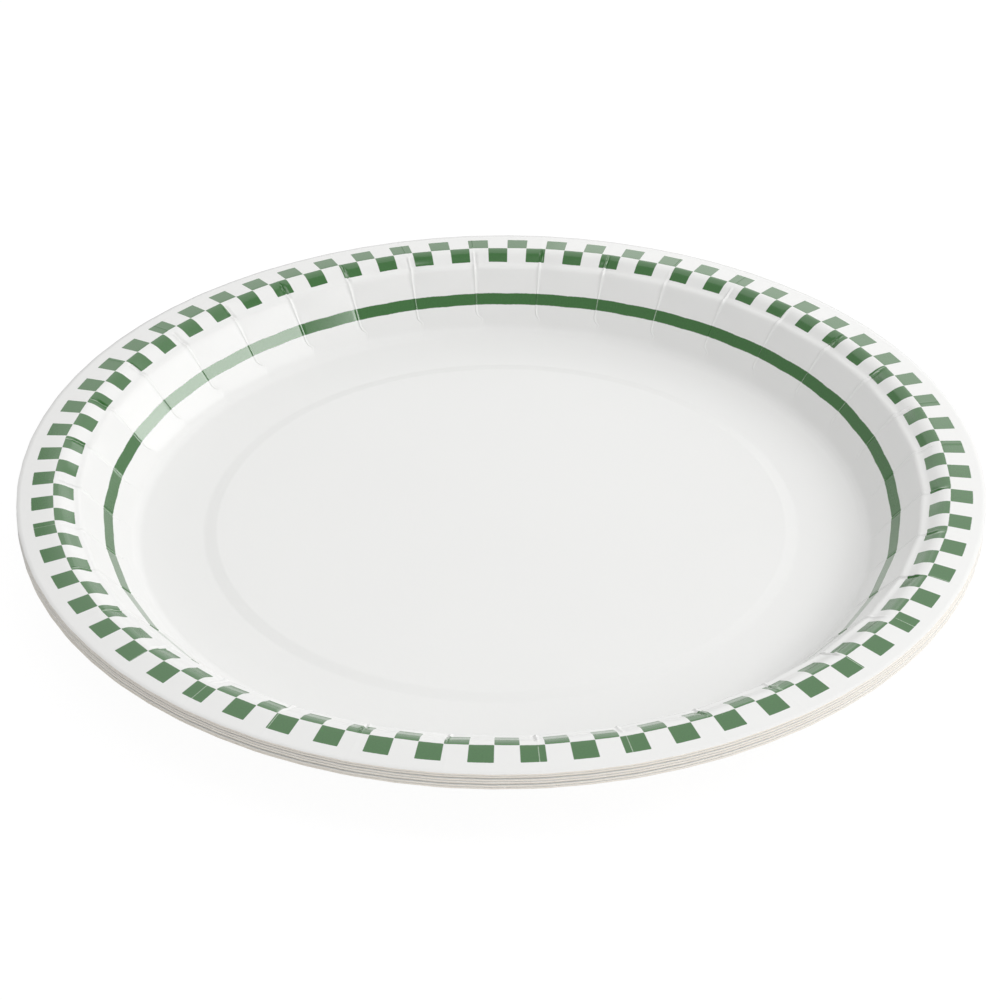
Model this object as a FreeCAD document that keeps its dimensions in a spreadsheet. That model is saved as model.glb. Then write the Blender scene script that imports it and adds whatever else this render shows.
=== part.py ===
import FreeCAD, Part
import os
import Sketcher

# A stack of round paperboard plates, nested one in the next.
# Each plate is one die-cut disc of coated board, pressed into a dish. Radial scores let the board
# gather where the wall turns up, so the wall and the brim stand as narrow flat panels that meet at
# the scores. Z points up, z = 0 is the surface that the lowest plate rests on, and the Z axis is
# the axis of the stack.

doc = FreeCAD.newDocument("paper_plates")
sheet = doc.addObject("Spreadsheet::Sheet", "sizes")

# Driving sizes in millimetres. Radii are taken at the middle of a panel, from the axis to the
# upper face of the board. Heights are measured up from the upper face of the floor.
SIZES = [
    ("plate_radius", 114.3, "round edge of the die-cut board"),
    ("board", 0.42, "thickness of the board"),
    ("ring_inner_radius", 68.4, "upper edge of the embossed step round the centre"),
    ("ring_outer_radius", 71.4, "lower edge of the embossed step"),
    ("centre_rise", 0.45, "height of the raised centre over the floor"),
    ("floor_radius", 85.6, "where the floor starts to turn up"),
    ("foot_radius", 88.9, "lower end of the straight wall"),
    ("foot_height", 1.33, "height there"),
    ("wall_radius", 99.2, "upper end of the straight wall, where it folds into the shoulder"),
    ("wall_height", 13.62, "height there"),
    ("shoulder_radius", 103.9, "middle fold of the rolled shoulder"),
    ("shoulder_height", 15.75, "height there"),
    ("crest_radius", 105.7, "highest line of the plate, where the brim begins"),
    ("crest_height", 16.15, "height there"),
    ("brim_drop", 0.30, "fall of the brim from the crest to its round edge"),
    ("trim_width", 1.0, "board outside the round edge before it is die-cut"),
    ("nest_gap", 0.03, "clearance between the walls of two nested plates"),
    ("score_count", 36, "scores, and panels between them, round a plate"),
    ("score_turn", -1.0, "turn of the scores about the axis, in degrees"),
    ("plate_count", 6, "plates in the stack"),
]

# Worked-out sizes. The straight wall is the steepest part, so it alone sets how far one nested
# plate sits above the next. A panel is drawn wider than its sector, then trimmed to it.
DERIVED = [
    ("wall_slope", "=atan((wall_height - foot_height) / (wall_radius - foot_radius))"),
    ("nest_pitch", "=(board + nest_gap) / cos(wall_slope)"),
    ("panel_angle", "=360 / score_count"),
    ("blank_radius", "=plate_radius + trim_width"),
    ("brim_fall", "=brim_drop / (plate_radius - crest_radius)"),
    ("brim_end_height", "=crest_height - brim_fall * (blank_radius - crest_radius)"),
    ("panel_width", "=2 * blank_radius * tan(panel_angle * 1deg)"),
    ("waste_length", "=3 * blank_radius"),
    ("waste_width", "=waste_length * tan(panel_angle * 1deg / 2)"),
]


def fill_sheet():
    """Write both lists to the sheet, one size a row, each with its name as alias."""
    for row, (alias, value, note) in enumerate(SIZES, start=1):
        sheet.set(f"A{row}", alias)
        sheet.set(f"B{row}", str(value))
        sheet.set(f"C{row}", note)
        sheet.setAlias(f"B{row}", alias)
    for row, (alias, formula) in enumerate(DERIVED, start=len(SIZES) + 1):
        sheet.set(f"A{row}", alias)
        sheet.set(f"B{row}", formula)
        sheet.setAlias(f"B{row}", alias)
    doc.recompute()


def size(alias):
    """Value of one cell of the sheet as a plain number."""
    value = getattr(sheet, alias)
    return float(getattr(value, "Value", value))


def origin_plane(body, role):
    """The body's own origin plane of that role."""
    return next(plane for plane in body.Origin.OriginFeatures if plane.Role == role)


def new_sketch(body, name, role):
    """An empty sketch that lies on one of the body's origin planes."""
    sketch = body.newObject("Sketcher::SketchObject", name)
    sketch.AttachmentSupport = [(origin_plane(body, role), "")]
    sketch.MapMode = "FlatFace"
    return sketch


def bind(sketch, constraint, expression):
    """Add a dimension to the sketch and tie it to the sheet."""
    index = sketch.addConstraint(constraint)
    sketch.setExpression(f"Constraints[{index}]", expression)


def join(sketch, line_a, end_a, line_b, end_b):
    """Make two line ends one corner."""
    sketch.addConstraint(Sketcher.Constraint("Coincident", line_a, end_a, line_b, end_b))


def draw_chain(sketch, points):
    """Straight lines from point to point, joined end to end; returns their indices."""
    lines = []
    for (x1, y1), (x2, y2) in zip(points, points[1:]):
        segment = Part.LineSegment(FreeCAD.Vector(x1, y1, 0), FreeCAD.Vector(x2, y2, 0))
        lines.append(sketch.addGeometry(segment, False))
    for first, second in zip(lines, lines[1:]):
        join(sketch, first, 2, second, 1)
    return lines


# Folds of the board's upper face, from the axis outwards: the radius and the height above the
# floor, each as an expression of the sheet.
FOLDS = [
    ("0", "sizes.centre_rise"),
    ("sizes.ring_inner_radius", "sizes.centre_rise"),
    ("sizes.ring_outer_radius", "0"),
    ("sizes.floor_radius", "0"),
    ("sizes.foot_radius", "sizes.foot_height"),
    ("sizes.wall_radius", "sizes.wall_height"),
    ("sizes.shoulder_radius", "sizes.shoulder_height"),
    ("sizes.crest_radius", "sizes.crest_height"),
    ("sizes.blank_radius", "sizes.brim_end_height"),
]


def fold_value(expression):
    """Number that one expression of a fold has now."""
    return 0.0 if expression == "0" else size(expression.removeprefix("sizes."))


def draw_board_section(body):
    """Section of the board through the middle of one panel, floor underside at height 0."""
    sketch = new_sketch(body, body.Name + "_section", "XZ_Plane")
    board = size("board")
    upper = [(fold_value(radius), fold_value(height) + board) for radius, height in FOLDS]
    lower = [(x, z - board) for x, z in upper]
    upper_lines = draw_chain(sketch, upper)
    lower_lines = draw_chain(sketch, lower)
    axis_end = draw_chain(sketch, [lower[0], upper[0]])[0]
    brim_end = draw_chain(sketch, [lower[-1], upper[-1]])[0]
    join(sketch, axis_end, 1, lower_lines[0], 1)
    join(sketch, axis_end, 2, upper_lines[0], 1)
    join(sketch, brim_end, 1, lower_lines[-1], 2)
    join(sketch, brim_end, 2, upper_lines[-1], 2)
    sketch.addConstraint(Sketcher.Constraint("Vertical", axis_end))
    sketch.addConstraint(Sketcher.Constraint("Vertical", brim_end))
    # the upper face has each fold's radius and height from the sheet; the first is on the axis
    fold_ends = [(upper_lines[0], 1)] + [(line, 2) for line in upper_lines]
    for (line, end), (radius, height), (x, z) in zip(fold_ends, FOLDS, upper):
        if radius == "0":
            sketch.addConstraint(Sketcher.Constraint("PointOnObject", line, end, -2))
        else:
            bind(sketch, Sketcher.Constraint("DistanceX", -1, 1, line, end, x), radius)
        bind(sketch, Sketcher.Constraint("DistanceY", -1, 1, line, end, z), f"{height} + sizes.board")
    # the lower face runs parallel to it, one thickness of board away
    for over, under in zip(upper_lines, lower_lines):
        sketch.addConstraint(Sketcher.Constraint("Parallel", over, under))
        bind(sketch, Sketcher.Constraint("Distance", under, 2, over, board), "sizes.board")
    return sketch


def draw_side_waste(body):
    """Triangle beside one panel's sector, seen from above, with its tip on the axis."""
    sketch = new_sketch(body, body.Name + "_side_waste", "XY_Plane")
    length = size("waste_length")
    width = size("waste_width")
    slant, back, axis_side = draw_chain(sketch, [(0, 0), (length, width), (0, width), (0, 0)])
    join(sketch, axis_side, 2, slant, 1)
    join(sketch, slant, 1, -1, 1)
    sketch.addConstraint(Sketcher.Constraint("Horizontal", back))
    sketch.addConstraint(Sketcher.Constraint("Vertical", axis_side))
    bind(sketch, Sketcher.Constraint("DistanceX", -1, 1, slant, 2, length), "sizes.waste_length")
    bind(sketch, Sketcher.Constraint("DistanceY", -1, 1, slant, 2, width), "sizes.waste_width")
    return sketch


def draw_edge_waste(body):
    """Ring outside the plate's round edge, seen from above."""
    sketch = new_sketch(body, body.Name + "_edge_waste", "XY_Plane")
    for alias in ("plate_radius", "waste_length"):
        ring = Part.Circle(FreeCAD.Vector(0, 0, 0), FreeCAD.Vector(0, 0, 1), size(alias))
        circle = sketch.addGeometry(ring, False)
        join(sketch, circle, 3, -1, 1)
        bind(sketch, Sketcher.Constraint("Radius", circle, size(alias)), f"sizes.{alias}")
    return sketch


def cut_through(body, sketch, name):
    """Cut the sketch's area away, all the way up and down; the volume has to drop."""
    before = body.Shape.Volume
    pocket = body.newObject("PartDesign::Pocket", name)
    pocket.Profile = sketch
    pocket.SideType = "Symmetric"
    pocket.Type = "ThroughAll"
    doc.recompute()
    if not 0 < pocket.Shape.Volume < before:
        raise RuntimeError(f"{name} cut nothing")
    return pocket


def press_plate(level):
    """One plate: a flat panel of board is trimmed to its sector and repeated round the axis."""
    name = f"plate_{level + 1}"
    body = doc.addObject("PartDesign::Body", name)
    body.Label = name
    panel = body.newObject("PartDesign::Pad", name + "_panel")
    panel.Profile = draw_board_section(body)
    panel.SideType = "Symmetric"
    panel.setExpression("Length", "sizes.panel_width")
    doc.recompute()
    side = cut_through(body, draw_side_waste(body), name + "_side_trim")
    other_side = body.newObject("PartDesign::Mirrored", name + "_other_side_trim")
    other_side.Originals = [side]
    other_side.MirrorPlane = (origin_plane(body, "XZ_Plane"), [""])
    body.Tip = other_side
    doc.recompute()
    cut_through(body, draw_edge_waste(body), name + "_die_cut")
    panels = body.newObject("PartDesign::PolarPattern", name + "_panels")
    panels.TransformMode = "Whole shape"
    panels.Axis = (next(a for a in body.Origin.OriginFeatures if a.Role == "Z_Axis"), [""])
    panels.Angle = 360
    panels.Refine = True
    panels.setExpression("Occurrences", "sizes.score_count")
    body.Tip = panels
    body.setExpression("Placement.Base.z", f"sizes.nest_pitch * {level}")
    body.setExpression("Placement.Rotation.Angle", "sizes.score_turn")
    doc.recompute()
    return body


fill_sheet()
plates = [press_plate(level) for level in range(int(size("plate_count")))]

for item in doc.Objects:
    if "Invalid" in item.State or "Error" in item.State:
        raise RuntimeError(f"{item.Name} failed: {item.State}")
for plate in plates:
    if plate.Shape.isNull() or not plate.Shape.isValid() or len(plate.Shape.Solids) != 1:
        raise RuntimeError(f"{plate.Label} is not one good solid")

os.makedirs("parts", exist_ok=True)
for plate in plates:
    plate.Shape.exportStep(f"parts/{plate.Label}.step")
    box = plate.Shape.BoundBox
    print(f"{plate.Label}: {plate.Shape.Volume:.0f} mm3, z {box.ZMin:.2f} to {box.ZMax:.2f},"
          f" {len(plate.Shape.Faces)} faces")
print(f"nest pitch {size('nest_pitch'):.3f} mm, wall slope {size('wall_slope'):.1f} degrees")
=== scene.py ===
# %% [markdown]
# A stack of paper plates.
# Six plates of coated board lie nested in each other. Each one was printed flat, scored with short
# radial lines, cut to a disc and pressed, so the wall gathers at the scores. The construction model
# already has every plate at its real size and place, with its wall as flat panels. Here each plate
# gets its looks: rounded folds, creased scores, a slightly wavy brim, the print and the board.
# The frame is loaded first, and its box is kept, because nothing added later may change the size.

# %% Load the frame
import math
import random

import bmesh
import bpy
from mathutils import Matrix, Vector, noise


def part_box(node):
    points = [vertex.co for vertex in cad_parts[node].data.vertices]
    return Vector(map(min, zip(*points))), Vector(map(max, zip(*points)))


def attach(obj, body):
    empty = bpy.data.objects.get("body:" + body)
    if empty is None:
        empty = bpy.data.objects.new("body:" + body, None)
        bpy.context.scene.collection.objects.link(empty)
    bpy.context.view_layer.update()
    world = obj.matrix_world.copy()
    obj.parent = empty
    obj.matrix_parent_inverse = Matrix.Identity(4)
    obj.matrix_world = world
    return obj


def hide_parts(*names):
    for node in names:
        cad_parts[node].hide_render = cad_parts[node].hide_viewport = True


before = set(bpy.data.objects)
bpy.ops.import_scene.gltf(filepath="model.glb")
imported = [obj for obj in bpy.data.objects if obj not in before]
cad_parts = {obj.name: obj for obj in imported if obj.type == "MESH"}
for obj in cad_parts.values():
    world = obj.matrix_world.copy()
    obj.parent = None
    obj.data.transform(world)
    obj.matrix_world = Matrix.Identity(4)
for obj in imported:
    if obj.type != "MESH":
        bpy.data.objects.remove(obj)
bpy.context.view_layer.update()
print("plates:", sorted(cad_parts))

# %% [markdown]
# Sizes come from the frame where it has them: the round edge, the step from one plate to the next,
# and the height of the crest. The other sizes are the folds of the pressed board, in millimetres.
# Working in millimetres and scaling once at the end keeps the numbers easy to read.

# %% Sizes from the frame
MM = 0.001
BOARD = 0.42
plates = sorted(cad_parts)
lowest_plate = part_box(plates[0])
nest_pitch = (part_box(plates[1])[1].z - lowest_plate[1].z) / MM
edge_radius = lowest_plate[1].x / MM
crest_height = lowest_plate[1].z / MM - BOARD
print(f"edge radius {edge_radius:.2f}, pitch {nest_pitch:.3f}, crest {crest_height:.2f} mm")

# %% [markdown]
# A pressed plate is nearly a turned shape, so one section spun round the axis makes it. The section
# is a chain of vertices, one for each fold, from the middle of the plate to its edge. Each fold is
# then rounded with a vertex bevel, because board never bends to a knife edge: wide bends where the
# wall meets the floor and where the shoulder meets the brim, and smaller ones at the embossed ring
# and at the top of the wall.

# %% Folds of the section
RING_INNER = 68.4
RING_OUTER = 71.4
CENTRE_RISE = 0.45
FOOT = 87.8
WALL_TOP = 99.4
CREST = 104.3
BRIM_FALL = 0.30
BEND_STEPS = 4
FOLDS = [
    # radius, height and length of the bend on each side of the fold
    (0.0, CENTRE_RISE, 0.0),
    (RING_INNER, CENTRE_RISE, 0.35),
    (RING_OUTER, 0.0, 0.35),
    (FOOT, 0.0, 1.9),
    (WALL_TOP, 13.82, 0.6),
    (100.9, 14.16, 0.6),
    (CREST, crest_height - 0.01, 1.5),
    (edge_radius, crest_height - BRIM_FALL, 0.0),
]


def fold_chain():
    """Open chain of edges through the folds, each fold rounded."""
    bm = bmesh.new()
    corners = [bm.verts.new((radius, 0.0, height)) for radius, height, bend in FOLDS]
    for first, second in zip(corners, corners[1:]):
        bm.edges.new((first, second))
    for corner, (radius, height, bend) in zip(corners, FOLDS):
        if bend:
            bmesh.ops.bevel(bm, geom=[corner, *corner.link_edges], offset=bend,
                            segments=BEND_STEPS, profile=0.5, affect="VERTICES", material=-1)
    return bm


section = fold_chain()
print("section corners:", len(section.verts))

# %% [markdown]
# The scored wall needs short rows of faces so that creases can end and curl there, and the floor
# and the plain part of the wall need few. So each edge of the chain is cut to a length that suits
# its place.

# %% Rows where the detail is
# the radius where each zone ends, and its longest row: floor, foot, wall, shoulder, brim
ROW_LENGTHS = [(FOOT - 1, 14.0), (92.5, 0.45), (96.0, 1.0), (CREST + 1, 0.38), (edge_radius, 1.1)]


def row_length(radius):
    """Longest edge that the section may have at that radius."""
    return next(length for end, length in ROW_LENGTHS if radius < end)


def cut_rows(bm):
    """Subdivide each long edge of the section."""
    for edge in list(bm.edges):
        middle = (edge.verts[0].co.x + edge.verts[1].co.x) / 2
        cuts = int(edge.calc_length() / row_length(middle))
        if cuts:
            bmesh.ops.subdivide_edges(bm, edges=[edge], cuts=cuts)


cut_rows(section)
print("section rows:", len(section.verts))

# %% [markdown]
# The spin turns the section once round the axis. It makes twelve columns of faces for each of the
# 36 scores, all equally wide. A later step moves them close to the score, where the creases are.

# %% Spin the section
SCORES = 36
SCORE_START = 4.0
PANEL = 360 / SCORES
COLUMN_OFFSETS = [0.0, 0.08, 0.18, 0.31, 0.48, 0.8, PANEL / 2]
COLUMNS = 2 * (len(COLUMN_OFFSETS) - 1)
WELD_DISTANCE = 0.001


def spin_section(bm):
    """Turn the section into a closed dish, one face thick, with its faces up."""
    bmesh.ops.spin(bm, geom=bm.verts[:] + bm.edges[:], cent=(0, 0, 0), axis=(0, 0, 1),
                   angle=math.tau, steps=SCORES * COLUMNS, use_merge=True)
    bmesh.ops.remove_doubles(bm, verts=bm.verts, dist=WELD_DISTANCE)
    bmesh.ops.recalc_face_normals(bm, faces=bm.faces)
    if min(bm.faces, key=lambda face: face.calc_center_median().length).normal.z < 0:
        bmesh.ops.reverse_faces(bm, faces=bm.faces)


spin_section(section)
print("faces of one dish:", len(section.faces))

# %% [markdown]
# A score is a line pressed into the flat blank before it is drawn to a dish. There the spare board
# folds together, so each score shows as a narrow ridge between two shallow valleys. It ends near the
# foot of the wall in a small curl and widens towards the shoulder. There the board is pinched into
# two or three pleats, which every score has in its own strength. On the brim it is only just seen.
# All plates take the same shape here, because they touch along the whole wall. Heights and widths
# are in millimetres, and the distance is measured along the wall from the score. Each part of the
# plate fades in and out between two radii.

# %% How strong a score is at each radius
SCORE_END = 90.5
WALL_FROM = (SCORE_END, SCORE_END + 0.7)
WALL_TO = (WALL_TOP, WALL_TOP + 1.5)
SHOULDER_FROM = (WALL_TOP - 1.0, WALL_TOP + 1.0)
SHOULDER_TO = (CREST - 1.0, CREST + 0.6)
BRIM_FROM = (CREST - 0.8, CREST + 0.4)
HOOK_LENGTH = 1.0
HOOK_REACH = 1.5
RIDGE_ON_WALL = 0.15
RIDGE_ON_BRIM = 0.012
RIDGE_WIDTH = 0.14
RIDGE_GROWTH = 0.18
GROWTH_START = 95.0
VALLEY_DEPTH = 0.4
VALLEY_PLACE = 2.7
VALLEY_WIDTH = 1.1
PLEAT_HEIGHT = 0.12
PINCHED_HEIGHT = 0.20
PLEAT_WIDTH = 1.3
PLEAT_CENTRE = -0.4
PLEAT_REACH = 0.7


def ease(value, start, end):
    """0 before start, 1 after end, and a smooth turn between them."""
    share = min(max((value - start) / (end - start), 0.0), 1.0)
    return share * share * (3 - 2 * share)


def bump(value, centre, width):
    """A smooth bell of height 1."""
    return math.exp(-((value - centre) / width) ** 2)


def score_ridge(radius, distance):
    """Height in millimetres across a score on the wall: a ridge with a valley on each side."""
    on_wall = ease(radius, *WALL_FROM) * (1 - ease(radius, *WALL_TO))
    on_brim = ease(radius, *BRIM_FROM)
    width = RIDGE_WIDTH + RIDGE_GROWTH * ease(radius, GROWTH_START, WALL_TOP)
    valley = bump(abs(distance), VALLEY_PLACE * width, VALLEY_WIDTH * width)
    shape = bump(distance, 0, width) - VALLEY_DEPTH * valley
    return (RIDGE_ON_WALL * on_wall + RIDGE_ON_BRIM * on_brim) * shape


def pleats(radius, distance, pinch, phase):
    """Height in millimetres of the pinched board on the shoulder."""
    on_shoulder = ease(radius, *SHOULDER_FROM) * (1 - ease(radius, *SHOULDER_TO))
    wave = math.cos(math.tau * distance / PLEAT_WIDTH + phase)
    wave *= bump(distance, PLEAT_CENTRE, PLEAT_REACH)
    return (PLEAT_HEIGHT + PINCHED_HEIGHT * pinch) * on_shoulder * wave


print("ridge across a score:", [round(score_ridge(94, d / 10), 3) for d in range(0, 11, 2)])

# %% [markdown]
# The draws below give each score and each panel its own character. The generator has a fixed seed,
# so every run presses the same plate. A panel leans a little, as gathered board does, and that
# changes how it mirrors the lights.

# %% Character of each score and panel
SEED = 36
PHASE_RANGE = 1.5
HOOK_RANGE = (0.6, 1.2)
LEAN_RANGE = 0.012
SWELL_RANGE = 0.05

draw = random.Random(SEED)
pinches = [draw.random() for _ in range(SCORES)]
phases = [draw.uniform(-PHASE_RANGE, PHASE_RANGE) for _ in range(SCORES)]
hooks = [HOOK_REACH * draw.uniform(*HOOK_RANGE) for _ in range(SCORES)]
leans = [draw.uniform(-LEAN_RANGE, LEAN_RANGE) for _ in range(SCORES)]
swells = [draw.uniform(-SWELL_RANGE, SWELL_RANGE) for _ in range(SCORES)]
print("strongest pinch:", round(max(pinches), 2))

# %% [markdown]
# Now the even columns move to their scores. Each vertex tells which score it belongs to, and how far
# in degrees it is to stand from it. With the columns in place, each corner keeps its position from
# above in a UV layer named blank, because the print lies on the board and goes where the board goes.

# %% Move the columns to the scores
def column_of(vertex):
    """Score number and offset in degrees from it, for a vertex of the even spin."""
    turn = math.degrees(math.atan2(vertex.co.y, vertex.co.x)) % 360
    column = round(turn * SCORES * COLUMNS / 360)
    score = (column + COLUMNS // 2 - 1) // COLUMNS
    step = column - score * COLUMNS
    return score % SCORES, math.copysign(COLUMN_OFFSETS[abs(step)], step)


section.verts.ensure_lookup_table()
columns = [column_of(vertex) for vertex in section.verts]
for vertex, (score, offset) in zip(section.verts, columns):
    radius = math.hypot(vertex.co.x, vertex.co.y)
    turn = math.radians(SCORE_START + score * PANEL + offset)
    vertex.co.x = radius * math.cos(turn)
    vertex.co.y = radius * math.sin(turn)

blank = section.loops.layers.uv.new("blank")
for face in section.faces:
    for loop in face.loops:
        loop[blank].uv = loop.vert.co.xy
print("columns placed:", SCORES * COLUMNS)

# %% [markdown]
# Pressing moves each vertex a little: out, where a flat panel departs from the round wall, and along
# the surface normal, where the board is ridged, pleated or crumpled. At its lower end a score bends
# sideways into its curl.

# %% Press the dish
WALL_FLATNESS = 0.9
GATHERED_FROM = (86.5, 90.0)
GATHERED_TO = (103.0, 109.0)
PANEL_BLEND = 0.3
HOOK_SPREAD = (1.0, 4.0)
CRUMPLE_HEIGHT = 0.26
CRUMPLE_RADIUS = 102.0
CRUMPLE_BAND = 1.9
CRUMPLE_REACH = 1.2
CRUMPLE_NOISE = Vector((0.9, 1.1, 3.7))


def press_vertex(vertex, normal, score, offset):
    """Place of one vertex of the shared shape after scoring and pressing."""
    radius = math.hypot(vertex.co.x, vertex.co.y)
    if radius < 1:
        return vertex.co.copy()
    tangent_mm = math.radians(offset) * radius
    on_wall = ease(radius, *GATHERED_FROM) * (1 - ease(radius, *GATHERED_TO))

    # a flat panel stands a little further out at its scores than in its middle
    from_middle = math.radians(PANEL / 2 - abs(offset))
    to_middle = math.radians(PANEL / 2) * radius
    out = radius * WALL_FLATNESS * (1 / math.cos(from_middle) - 1)
    after = min(max(0.5 + 0.5 * min(offset / PANEL_BLEND, 1), 0), 1)
    before = min(max(0.5 - 0.5 * max(offset / PANEL_BLEND, -1), 0), 1)
    for panel, share, across in ((score, after, tangent_mm - to_middle),
                                 (score - 1, before, tangent_mm + to_middle)):
        swell = swells[panel] * math.cos(from_middle * SCORES / 2)
        out += share * (leans[panel] * across + swell)
    radius += out * on_wall

    # the ridge of the score, its pleats, and the crumpled board beside them on the shoulder
    lift = score_ridge(radius, tangent_mm)
    lift += pleats(radius, tangent_mm, pinches[score], phases[score])
    crumple = noise.noise(Vector((radius, tangent_mm, score)) * CRUMPLE_NOISE)
    crumple *= bump(radius, CRUMPLE_RADIUS, CRUMPLE_BAND) * bump(tangent_mm, 0, CRUMPLE_REACH)
    lift += CRUMPLE_HEIGHT * pinches[score] * crumple

    # the curl at the lower end, then the move along the normal
    hook = -hooks[score] * (1 - ease(radius, SCORE_END, SCORE_END + HOOK_LENGTH))
    hook *= 1 - ease(abs(offset), *HOOK_SPREAD)
    turn = math.radians(SCORE_START + score * PANEL + offset) + hook * on_wall / radius
    outwards = math.hypot(normal.x, normal.y)
    if normal.xy.dot(vertex.co.xy) < 0:
        outwards = -outwards
    radius += outwards * lift
    height = vertex.co.z + normal.z * lift
    return Vector((radius * math.cos(turn), radius * math.sin(turn), height))


section.normal_update()
places = []
for vertex, (score, offset) in zip(section.verts, columns):
    places.append(press_vertex(vertex, vertex.normal, score, offset))
for vertex, place in zip(section.verts, places):
    vertex.co = place
print("pressed vertices:", len(places))

# %% [markdown]
# The brims are free, so there the six plates differ: each one waves by a tenth of a millimetre or
# two, they close up in pairs at the front left, and no disc was cut quite centred. This is what
# makes the edge of the stack look like loose sheets and not like one thick rim. The waves only go
# down and the cuts only go in, so that the stack keeps its real size.

# %% Brim of each plate
BRIM_SEED = 100
COMMON_WAVE = [(2, 1.0, 1.1), (5, 0.6, 0.4)]
COMMON_HEIGHT = 0.10
OWN_HEIGHT = 0.03
BRIM_SAG = 0.04
BRIM_LIFT = [0.10, -0.06, 0.08, -0.10, 0.02, -0.17]
LIFT_BEHIND = 0.35
PAIRS_AT = math.radians(222)
CUT_DRIFT = 0.22


def falling_wave(turn, parts):
    """Sum of sines that only goes down; a part is its waves a turn, its share and its shift."""
    return sum(share * (math.sin(waves * turn + shift) - 1) for waves, share, shift in parts)


def swing(turn):
    """0 to 1 and back, once a turn."""
    return 0.5 + 0.5 * math.sin(turn)


def free_brim(bm, level):
    """Give the plate on that level its own brim."""
    chance = random.Random(BRIM_SEED + level)
    shifts = [chance.uniform(0, math.tau) for _ in range(4)]
    own_wave = [(3, 1.0, shifts[0]), (7, 0.7, shifts[1])]
    above = len(plates) - 1 - level
    for vertex in bm.verts:
        radius = math.hypot(vertex.co.x, vertex.co.y)
        if radius < CREST:
            continue
        turn = math.atan2(vertex.co.y, vertex.co.x)
        share = ease(radius, CREST, edge_radius + 3)
        near_pairs = 0.5 + 0.5 * math.cos(turn - PAIRS_AT)
        lift = (LIFT_BEHIND + (1 - LIFT_BEHIND) * near_pairs) * BRIM_LIFT[level]
        lift -= BRIM_SAG * above * near_pairs
        lift += COMMON_HEIGHT * falling_wave(turn, COMMON_WAVE)
        lift += OWN_HEIGHT * falling_wave(turn, own_wave)
        vertex.co.z += share * lift
        drift = 0.7 * swing(turn + shifts[2]) + 0.3 * swing(4 * turn + shifts[3])
        scale = 1 - CUT_DRIFT * drift * share / radius
        vertex.co.x *= scale
        vertex.co.y *= scale


print("levels:", len(plates))

# %% [markdown]
# Shader maths reads best as plain expressions, so a small class wraps a socket and turns +, -, * and
# / into Math nodes. One method adds any other node: its settings first, then its sockets.

# %% Shader helper
COAT_ROUGHNESS = 0.12
COAT_IOR = 1.65


class Value:
    """A number in a material."""

    def __init__(self, finish, socket):
        self.finish = finish
        self.socket = socket

    def math(self, operation, other=None, clamp=False):
        inputs = {0: self} if other is None else {0: self, 1: other}
        settings = {"operation": operation, "use_clamp": clamp}
        node = self.finish.node("ShaderNodeMath", settings, inputs)
        return Value(self.finish, node.outputs[0])

    def __add__(self, other):
        return self.math("ADD", other)

    def __sub__(self, other):
        return self.math("SUBTRACT", other)

    def __rsub__(self, other):
        return (self * -1).math("ADD", other)

    def __mul__(self, other):
        return self.math("MULTIPLY", other)

    def __truediv__(self, other):
        return self.math("DIVIDE", other)

    def clamp(self):
        return self.math("ADD", 0.0, clamp=True)


class Finish:
    """A material with a Principled shader."""

    def __init__(self, name, roughness, specular):
        self.material = bpy.data.materials.new(name)
        self.material.use_nodes = True
        self.tree = self.material.node_tree
        self.shader = self.tree.nodes["Principled BSDF"]
        self.shader.inputs["Roughness"].default_value = roughness
        self.shader.inputs["Specular IOR Level"].default_value = specular
        self.shader.inputs["Coat Roughness"].default_value = COAT_ROUGHNESS
        self.shader.inputs["Coat IOR"].default_value = COAT_IOR

    def node(self, kind, settings=None, inputs=None):
        node = self.tree.nodes.new(kind)
        for name, value in (settings or {}).items():
            setattr(node, name, value)
        for key, value in (inputs or {}).items():
            self.set(node.inputs[key], value)
        return node

    def set(self, socket, value):
        if isinstance(value, Value):
            self.tree.links.new(value.socket, socket)
        elif isinstance(value, bpy.types.NodeSocket):
            self.tree.links.new(value, socket)
        else:
            socket.default_value = value

    def value(self, socket):
        return Value(self, socket)

    def blank(self, move=(0.0, 0.0, 0.0)):
        """Place on the board before it was pressed, in millimetres, moved."""
        board = self.node("ShaderNodeUVMap", {"uv_map": "blank"})
        mapping = self.node("ShaderNodeMapping", None, {
            "Vector": board.outputs[0], "Location": move})
        return mapping.outputs[0]

    def place(self, scale):
        """Object coordinates, scaled on each axis."""
        texture = self.node("ShaderNodeTexCoord")
        mapping = self.node("ShaderNodeMapping", None, {
            "Vector": texture.outputs["Object"], "Scale": scale})
        return mapping.outputs[0]

    def polar(self, place):
        """Y, radius and angle of a place on the board."""
        split = self.node("ShaderNodeSeparateXYZ", None, {0: place})
        x = self.value(split.outputs[0])
        y = self.value(split.outputs[1])
        return y, (x * x + y * y).math("SQRT"), y.math("ARCTAN2", x)

    def grain(self, place, scale, detail=4.0, rough=0.5):
        """Noise between 0 and 1."""
        node = self.node("ShaderNodeTexNoise", None, {
            "Vector": place, "Scale": scale, "Detail": detail, "Roughness": rough})
        return self.value(node.outputs["Fac"])

    def mix(self, factor, first, second):
        """One colour into another."""
        node = self.node("ShaderNodeMix", {"data_type": "RGBA"}, {0: factor, 6: first, 7: second})
        return node.outputs[2]

    def relief(self, height, distance):
        """Bump from a height between 0 and 1, distance in metres."""
        node = self.node("ShaderNodeBump", None, {"Height": height, "Distance": distance})
        self.set(self.shader.inputs["Normal"], node.outputs[0])


print("shader helper ready")

# %% [markdown]
# The print is two rows of green checks on the brim and the shoulder and one green stripe on the
# wall. All of it is round the axis, so the pattern is worked out from radius and angle on the blank
# board, in millimetres. Each check is a box with rounded corners: its distance field turns into a
# mask with a soft edge, as ink has. A row is given by its two radii and the angle of one check.

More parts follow.
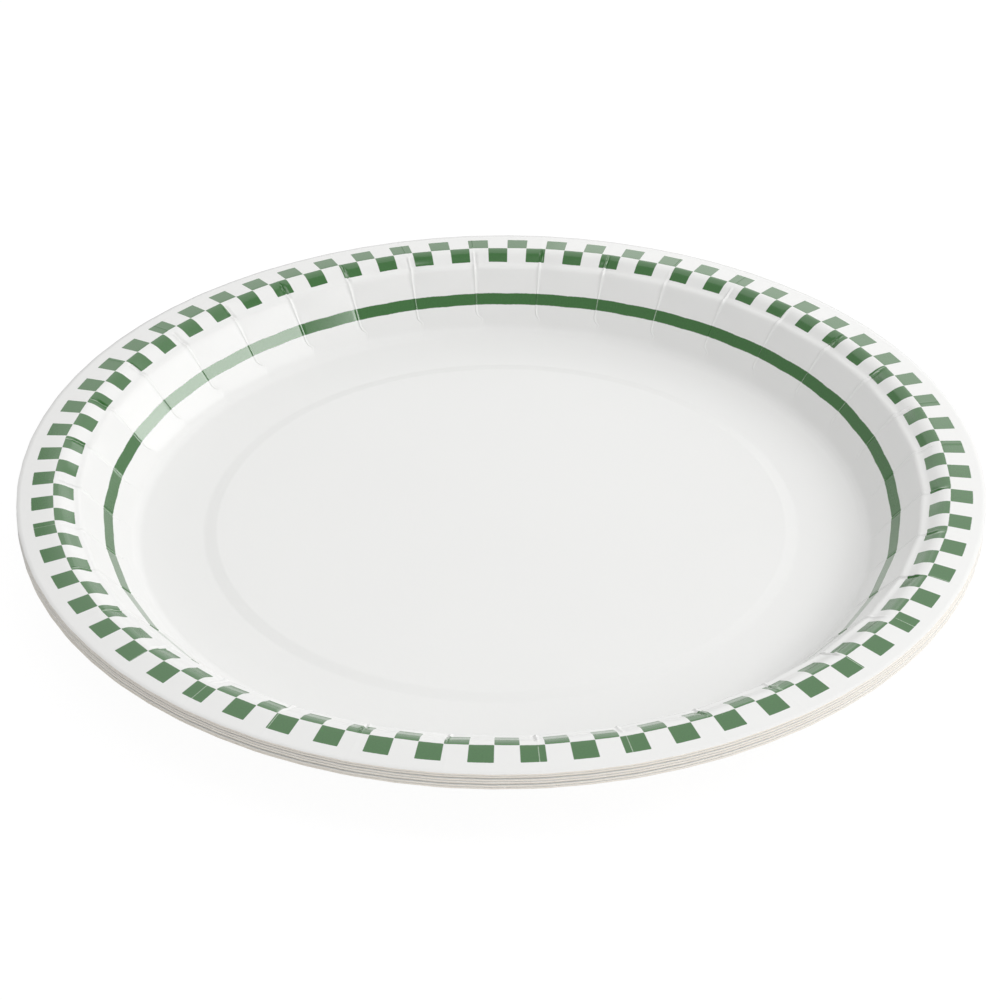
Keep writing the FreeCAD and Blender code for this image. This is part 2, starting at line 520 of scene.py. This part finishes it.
# %% Masks of the print
CHECKS = 64
PERIOD = math.tau / CHECKS
PRINT_SHIFT = (-0.22, -0.16, 0.0)
OUTER_ROW = (105.73, 110.99, math.radians(-2.364))
INNER_ROW = (101.03, 105.73, math.radians(0.456))
STRIPE = (92.62, 94.60)
CHECK_CORNER = 0.2
INK_EDGE = 0.10


def row_mask(radius, angle, row):
    inner, outer, start = row
    turns = (angle - start) / PERIOD
    across = (turns - turns.math("ROUND")).math("ABSOLUTE") * PERIOD * radius
    side = across - radius * (PERIOD / 4) + CHECK_CORNER
    end = (radius - (inner + outer) / 2).math("ABSOLUTE") - (outer - inner) / 2 + CHECK_CORNER
    side_out = side.math("MAXIMUM", 0.0)
    end_out = end.math("MAXIMUM", 0.0)
    corner = (side_out * side_out + end_out * end_out).math("SQRT")
    inside = side.math("MAXIMUM", end).math("MINIMUM", 0.0)
    return (0.5 - (corner + inside - CHECK_CORNER) / INK_EDGE).clamp()


def stripe_mask(radius):
    """1 inside the stripe on the wall, with soft edges."""
    inner, outer = STRIPE
    edge = (radius - (inner + outer) / 2).math("ABSOLUTE") - (outer - inner) / 2
    return (0.5 - edge / INK_EDGE).clamp()


def ink_mask(radius, angle):
    """1 where the board is printed."""
    checks = row_mask(radius, angle, OUTER_ROW).math("MAXIMUM", row_mask(radius, angle, INNER_ROW))
    return checks.math("MAXIMUM", stripe_mask(radius))


print("checks in each row:", CHECKS)

# %% [markdown]
# The scores show in the print too. Along its line a score is painted dark and matt: painted shade
# where the crease mirrors no lamp. On the pinched shoulder the pleats lie so close that only their
# light and dark streaks are seen, and these are painted as well: painted highlights where a pleat
# catches the light and painted shade where it turns away. A noise that changes quickly across the
# score and slowly along it draws them, and each score has its own part of that noise.

# %% Masks of the scores
SCORE_LINE = 0.16
STREAKS_PER_MM = 1.7
STREAK_STRETCH = 0.25
NEXT_STREAKS = 7.3
STREAK_NOISE = (1.0, 2.0)
STREAK_REACH = 0.8
STREAK_FADE = 1.5
STREAK_EDGE = 12
# streaks above this noise level are painted highlight, and below the next one painted shade
HIGHLIGHT_OVER = 0.55
SHADE_UNDER = 0.46


def score_marks(finish):
    """Masks of the score lines, which take painted shade, and of the painted highlight and painted
    shade streaks beside them.
    """
    _, radius, angle = finish.polar(finish.blank())
    turns = (angle - math.radians(SCORE_START)) / math.radians(PANEL)
    number = turns.math("ROUND")
    beside = (turns - number) * radius * math.radians(PANEL)
    # the line along each score; it carries the painted shade and the cracks
    line = (1 - beside.math("ABSOLUTE") / SCORE_LINE).clamp() * (radius - SCORE_END).clamp()
    across = finish.node("ShaderNodeCombineXYZ", None, {
        0: beside * STREAKS_PER_MM, 1: number * NEXT_STREAKS, 2: radius * STREAK_STRETCH})
    streak = finish.grain(across.outputs[0], *STREAK_NOISE)
    near = ((STREAK_REACH - (beside - PLEAT_CENTRE).math("ABSOLUTE")) * STREAK_FADE).clamp()
    pinched = near * (radius - INNER_ROW[0]).clamp() * (INNER_ROW[1] - radius).clamp()
    # painted highlight and painted shade: the pleats lit and shaded, drawn in colour
    painted_highlight = ((streak - HIGHLIGHT_OVER) * STREAK_EDGE).clamp() * pinched
    painted_shade = ((SHADE_UNDER - streak) * STREAK_EDGE).clamp() * pinched
    return line, painted_highlight, painted_shade


print("width of a score line:", 2 * SCORE_LINE, "mm")

# %% [markdown]
# The ink is a mottled green under a glossy coat, and where there is none the white clay coating
# shows. In some places the ink has cracked open along the scores, down to the pale board. The same
# pale colour paints the highlights of the pleats, and the deep green paints the shade along the
# scores. A noise is given by its scale for a millimetre, its detail and its roughness.

# %% Printed face
INK = (0.032, 0.168, 0.026, 1.0)
INK_DEEP = (0.012, 0.088, 0.009, 1.0)
# pale board colour, for the cracks and for the painted highlights
CRACK_AND_HIGHLIGHT = (0.50, 0.60, 0.48, 1.0)
COATING = (0.80, 0.80, 0.79, 1.0)
COATING_CLOUD = (0.788, 0.788, 0.77815, 1.0)
BLEED_NOISE = (1.3, 2.0)
MOTTLE_NOISE = (2.5, 5.0, 0.7)
WORN_NOISE = (0.045, 1.0)
CLOUD_NOISE = (0.03, 2.0)
FINE_NOISE = (1.1, 3.0, 0.6)
BROAD_NOISE = (0.25, 1.0)
INK_BLEED = 0.10
INK_COAT = 0.95
COATING_ROUGHNESS = 0.26
INK_SMOOTHER = 0.05
ROUGHNESS_SPREAD = 0.08
COATING_SPECULAR = 0.25
COATING_RELIEF = 0.03
WORN_OVER = 0.45
WORN_EDGE = 8
WORN_TO_FRONT = 0.02
CRACK_GAIN = 2.2
CRACK_FLOOR = 0.3
# how far the painted shade of score lines and dark streaks goes towards the deep green
LINE_SHADE = 0.8
# share of the pale colour in the painted highlight streaks
HIGHLIGHT_SHARE = 0.6


def worn_parts(finish, place, radius, y):
    """1 where the ink has cracked open along the scores."""
    worn = ((finish.grain(place, *WORN_NOISE) - WORN_OVER) * WORN_EDGE).clamp()
    on_outer_row = (radius - OUTER_ROW[0]).clamp()
    to_front = (y * -WORN_TO_FRONT).clamp()
    return worn * (1 - on_outer_row) + on_outer_row * to_front


def printed_coating():
    """White glossy clay coating with the green print."""
    finish = Finish("printed_coating", COATING_ROUGHNESS, COATING_SPECULAR)
    place = finish.blank(PRINT_SHIFT)
    y, radius, angle = finish.polar(place)
    radius = radius + (finish.grain(place, *BLEED_NOISE) - 0.5) * INK_BLEED
    ink = ink_mask(radius, angle)

    # the ink and its marks at the scores: cracks, painted shade and painted highlights
    mottle = finish.grain(place, *MOTTLE_NOISE)
    shade_and_crack_line, highlight_streak, shade_streak = score_marks(finish)
    crack = shade_and_crack_line * worn_parts(finish, place, radius, y)
    crack = crack * (mottle * CRACK_GAIN - CRACK_FLOOR).clamp()
    matt_shade = (shade_and_crack_line + shade_streak).clamp()
    crack_and_highlight = (crack + highlight_streak * HIGHLIGHT_SHARE).clamp()
    ink_colour = finish.mix(mottle, INK_DEEP, INK)
    # painted shade: score lines and dark streaks go towards the deep green and lose their coat
    ink_colour = finish.mix(matt_shade * LINE_SHADE, ink_colour, INK_DEEP)
    # cracks, and painted highlights on the pleats, in the pale colour
    ink_colour = finish.mix(crack_and_highlight, ink_colour, CRACK_AND_HIGHLIGHT)

    # the coating, and both together
    coating = finish.mix(finish.grain(place, *CLOUD_NOISE), COATING, COATING_CLOUD)
    roughness = COATING_ROUGHNESS - ink * INK_SMOOTHER + (mottle - 0.5) * ROUGHNESS_SPREAD
    finish.set(finish.shader.inputs["Base Color"], finish.mix(ink, coating, ink_colour))
    finish.set(finish.shader.inputs["Roughness"], roughness)
    finish.set(finish.shader.inputs["Coat Weight"], ink * INK_COAT * (1 - matt_shade))
    fine = finish.grain(place, *FINE_NOISE)
    broad = finish.grain(place, *BROAD_NOISE)
    finish.relief(fine * 0.5 + broad * 0.5, COATING_RELIEF * MM)
    return finish.material


printed_face = printed_coating()
print("nodes of the printed face:", len(printed_face.node_tree.nodes))

# %% [markdown]
# The underside is the bare grey-white back of the board: matt, with fibres that show as fine
# streaks. The cut edge shows the core, a little darker and warmer, in thin layers.

# %% Back and edge of the board
PER_MM = 1 / MM
BOARD_SPECULAR = 0.3
BACK_ROUGHNESS = 0.85
BACK_DARK = (0.62, 0.58, 0.50, 1.0)
BACK_LIGHT = (0.80, 0.77, 0.70, 1.0)
FIBRE_NOISE = (1.6, 6.0, 0.75)
PATCH_NOISE = (0.08, 3.0)
FIBRE_SHARE = 0.6
FIBRE_RELIEF = 0.05
EDGE_ROUGHNESS = 0.8
EDGE_DARK = (0.67, 0.60, 0.51, 1.0)
EDGE_LIGHT = (0.95, 0.93, 0.88, 1.0)
LAYER_SCALE = (0.9 * PER_MM, 0.9 * PER_MM, 9 * PER_MM)
LAYER_NOISE = (1.0, 4.0, 0.7)
EDGE_RELIEF = 0.03


def bare_back():
    """Uncoated back of the board."""
    finish = Finish("bare_back", BACK_ROUGHNESS, BOARD_SPECULAR)
    place = finish.place((PER_MM, PER_MM, PER_MM))
    fibres = finish.grain(place, *FIBRE_NOISE)
    patches = finish.grain(place, *PATCH_NOISE)
    tone = fibres * FIBRE_SHARE + patches * (1 - FIBRE_SHARE)
    finish.set(finish.shader.inputs["Base Color"], finish.mix(tone, BACK_DARK, BACK_LIGHT))
    finish.relief(fibres, FIBRE_RELIEF * MM)
    return finish.material


def cut_edge():
    """Die-cut edge of the board."""
    finish = Finish("cut_edge", EDGE_ROUGHNESS, BOARD_SPECULAR)
    layers = finish.grain(finish.place(LAYER_SCALE), *LAYER_NOISE)
    finish.set(finish.shader.inputs["Base Color"], finish.mix(layers, EDGE_DARK, EDGE_LIGHT))
    finish.relief(layers, EDGE_RELIEF * MM)
    return finish.material


finishes = [printed_face, bare_back(), cut_edge()]
print("finishes:", [material.name for material in finishes])

# %% [markdown]
# Each plate is a copy of the pressed dish, moved up by the nesting step and given its own brim. The
# Solidify modifier then grows the board downwards from the printed face by its real thickness, so
# the printed face stays where it was pressed. It puts the back and the edge in their own materials,
# and a small bevel takes the knife edge off the cut.

# %% Make the plates
CUT_BEVEL = 0.05
CUT_ANGLE = math.radians(60)


def make_plate(level, name):
    """One finished plate, which takes the place of its node."""
    bm = section.copy()
    free_brim(bm, level)
    bmesh.ops.translate(bm, verts=bm.verts, vec=(0, 0, BOARD + nest_pitch * level))
    bmesh.ops.scale(bm, verts=bm.verts, vec=(MM, MM, MM))
    mesh = bpy.data.meshes.new(name + "_board")
    bm.to_mesh(mesh)
    bm.free()
    mesh.polygons.foreach_set("use_smooth", [True] * len(mesh.polygons))
    for material in finishes:
        mesh.materials.append(material)
    plate = bpy.data.objects.new(name + "_board", mesh)
    bpy.context.collection.objects.link(plate)
    wall = plate.modifiers.new("board", "SOLIDIFY")
    wall.thickness = BOARD * MM
    wall.offset = -1
    wall.use_even_offset = True
    wall.material_offset = 1
    wall.material_offset_rim = 2
    softened = plate.modifiers.new("cut", "BEVEL")
    softened.width = CUT_BEVEL * MM
    softened.segments = 1
    softened.limit_method = "ANGLE"
    softened.angle_limit = CUT_ANGLE
    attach(plate, "root")
    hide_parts(name)
    return plate


boards = [make_plate(level, name) for level, name in enumerate(plates)]
section.free()
print("plates made:", [board.name for board in boards])

# %% [markdown]
# The stage is a white floor. A camera ray sees it almost as pure white, and the part that stays
# matt keeps the soft shadow under the stack.

# %% Floor
FLOOR_SIZE = 8.0
FLOOR_HEIGHT = -0.0002
FLOOR_COLOUR = (0.85, 0.85, 0.85, 1.0)
FLOOR_ROUGHNESS = 0.9
FLOOR_GLOW = 1.05
GLOW_SHARE = 0.9


def white_floor():
    """Pale floor, near white to the camera, with a soft shadow."""
    finish = Finish("white_floor", FLOOR_ROUGHNESS, 0.0)
    finish.shader.inputs["Base Color"].default_value = FLOOR_COLOUR
    path = finish.node("ShaderNodeLightPath")
    seen = finish.value(path.outputs["Is Camera Ray"])
    for ray in ("Is Glossy Ray", "Is Transmission Ray"):
        seen = seen.math("MAXIMUM", finish.value(path.outputs[ray]))
    glow = finish.node("ShaderNodeEmission", None, {"Strength": FLOOR_GLOW})
    blend = finish.node("ShaderNodeMixShader", None, {
        0: seen * GLOW_SHARE, 1: finish.shader.outputs[0], 2: glow.outputs[0]})
    output = finish.tree.nodes["Material Output"]
    finish.set(output.inputs["Surface"], blend.outputs[0])
    return finish.material


bpy.ops.mesh.primitive_plane_add(size=FLOOR_SIZE, location=(0, 0, FLOOR_HEIGHT))
floor = bpy.context.object
floor.name = "floor"
floor.data.materials.append(white_floor())
print("floor placed")

# %% [markdown]
# The light is a studio's. An even pale room fills the shadows. A long soft lamp on the right shines
# on the left wall, where the glossy ink mirrors it panel by panel. The lamps behind the stack are
# mirrored by the brim. Weaker lamps light the brim in front, the floor of the plate from above, and
# the cut edge of the stack from low on the right.

# %% Light
LAMPS = [
    # name, directions of its two ends, distance and height in metres, power in watts
    ("side_lamp", (-29, 41.5), (38, 11.5), 1.6, 0.30, 8.7),
    ("back_lamp", (49, 29), (112, 29), 1.0, 1.05, 1.6),
    ("corner_lamp", (64, 24), (88, 22), 1.1, 0.30, 0.18),
    ("front_lamp", (-78, 28), (-35, 28), 1.3, 0.40, 1.5),
    ("top_lamp", (-163.7, 59), (-16.3, 59), 1.213, 0.48, 2.6),
    ("edge_lamp", (-50, 0.45), (-20, 0.45), 1.5, 0.016, 3.8),
]
ROOM_LIGHT = 0.54
ROOM_SEEN = 1.05


def toward(azimuth, elevation):
    """Unit vector to a place round the plate; azimuth 0 is +X and 90 is +Y, in degrees."""
    turn = math.radians(azimuth)
    rise = math.radians(elevation)
    return Vector((math.cos(turn) * math.cos(rise), math.sin(turn) * math.cos(rise), math.sin(rise)))


def soft_lamp(name, start, end, distance, height, power):
    """Rectangular lamp whose length runs from one direction to the other."""
    first = toward(*start) * distance
    last = toward(*end) * distance
    middle = (first + last) / 2
    along = (last - first).normalized()
    back = middle.normalized()
    across = back.cross(along).normalized()
    lamp = bpy.data.lights.new(name, "AREA")
    lamp.shape = "RECTANGLE"
    lamp.size = (last - first).length
    lamp.size_y = height
    lamp.energy = power
    holder = bpy.data.objects.new(name, lamp)
    bpy.context.collection.objects.link(holder)
    turn = Matrix((along, across, back)).transposed().to_4x4()
    holder.matrix_world = Matrix.Translation(middle) @ turn


for lamp in LAMPS:
    soft_lamp(*lamp)

# the room is white to the camera, and as light it is weaker
world = bpy.data.worlds.new("pale_room")
bpy.context.scene.world = world
world.use_nodes = True
room = world.node_tree.nodes["Background"]
room.inputs["Color"].default_value = (1.0, 1.0, 1.0, 1.0)
path = world.node_tree.nodes.new("ShaderNodeLightPath")
strength = world.node_tree.nodes.new("ShaderNodeMapRange")
strength.inputs["To Min"].default_value = ROOM_LIGHT
strength.inputs["To Max"].default_value = ROOM_SEEN
world.node_tree.links.new(path.outputs["Is Camera Ray"], strength.inputs["Value"])
world.node_tree.links.new(strength.outputs[0], room.inputs["Strength"])

# %% [markdown]
# The camera stands where the photograph's view puts it: 34 degrees above the rim, with a long
# lens. Its place is given from the centre of the top rim, as shares of the plate's radius.

# %% Camera
VIEW_DOWN = math.radians(34.090)
VIEW_ROLL = math.radians(-0.173)
VIEW_DISTANCE = 5.4625
VIEW_SHIFT = (0.0017, -0.0772)
LENS = 94.4
SENSOR_WIDTH = 36
VIEW_END = 20
right = Vector((1, 0, 0))
down = Vector((0, -math.sin(VIEW_DOWN), -math.cos(VIEW_DOWN)))
ahead = Vector((0, math.cos(VIEW_DOWN), -math.sin(VIEW_DOWN)))
image_x = math.cos(VIEW_ROLL) * right - math.sin(VIEW_ROLL) * down
image_y = math.sin(VIEW_ROLL) * right + math.cos(VIEW_ROLL) * down
rim_centre = Vector((0, 0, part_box(plates[-1])[1].z - BRIM_FALL * MM))
from_rim = -VIEW_SHIFT[0] * image_x - VIEW_SHIFT[1] * image_y - VIEW_DISTANCE * ahead
camera = bpy.data.objects.new("camera", bpy.data.cameras.new("camera"))
bpy.context.collection.objects.link(camera)
camera.data.lens = LENS
camera.data.sensor_width = SENSOR_WIDTH
camera.data.clip_end = VIEW_END
camera_axes = Matrix((image_x, -image_y, -ahead)).transposed().to_4x4()
eye = rim_centre + from_rim * edge_radius * MM
camera.matrix_world = Matrix.Translation(eye) @ camera_axes
bpy.context.scene.camera = camera
bpy.context.scene.view_settings.view_transform = "Standard"
print("camera at", [round(c, 3) for c in camera.location])
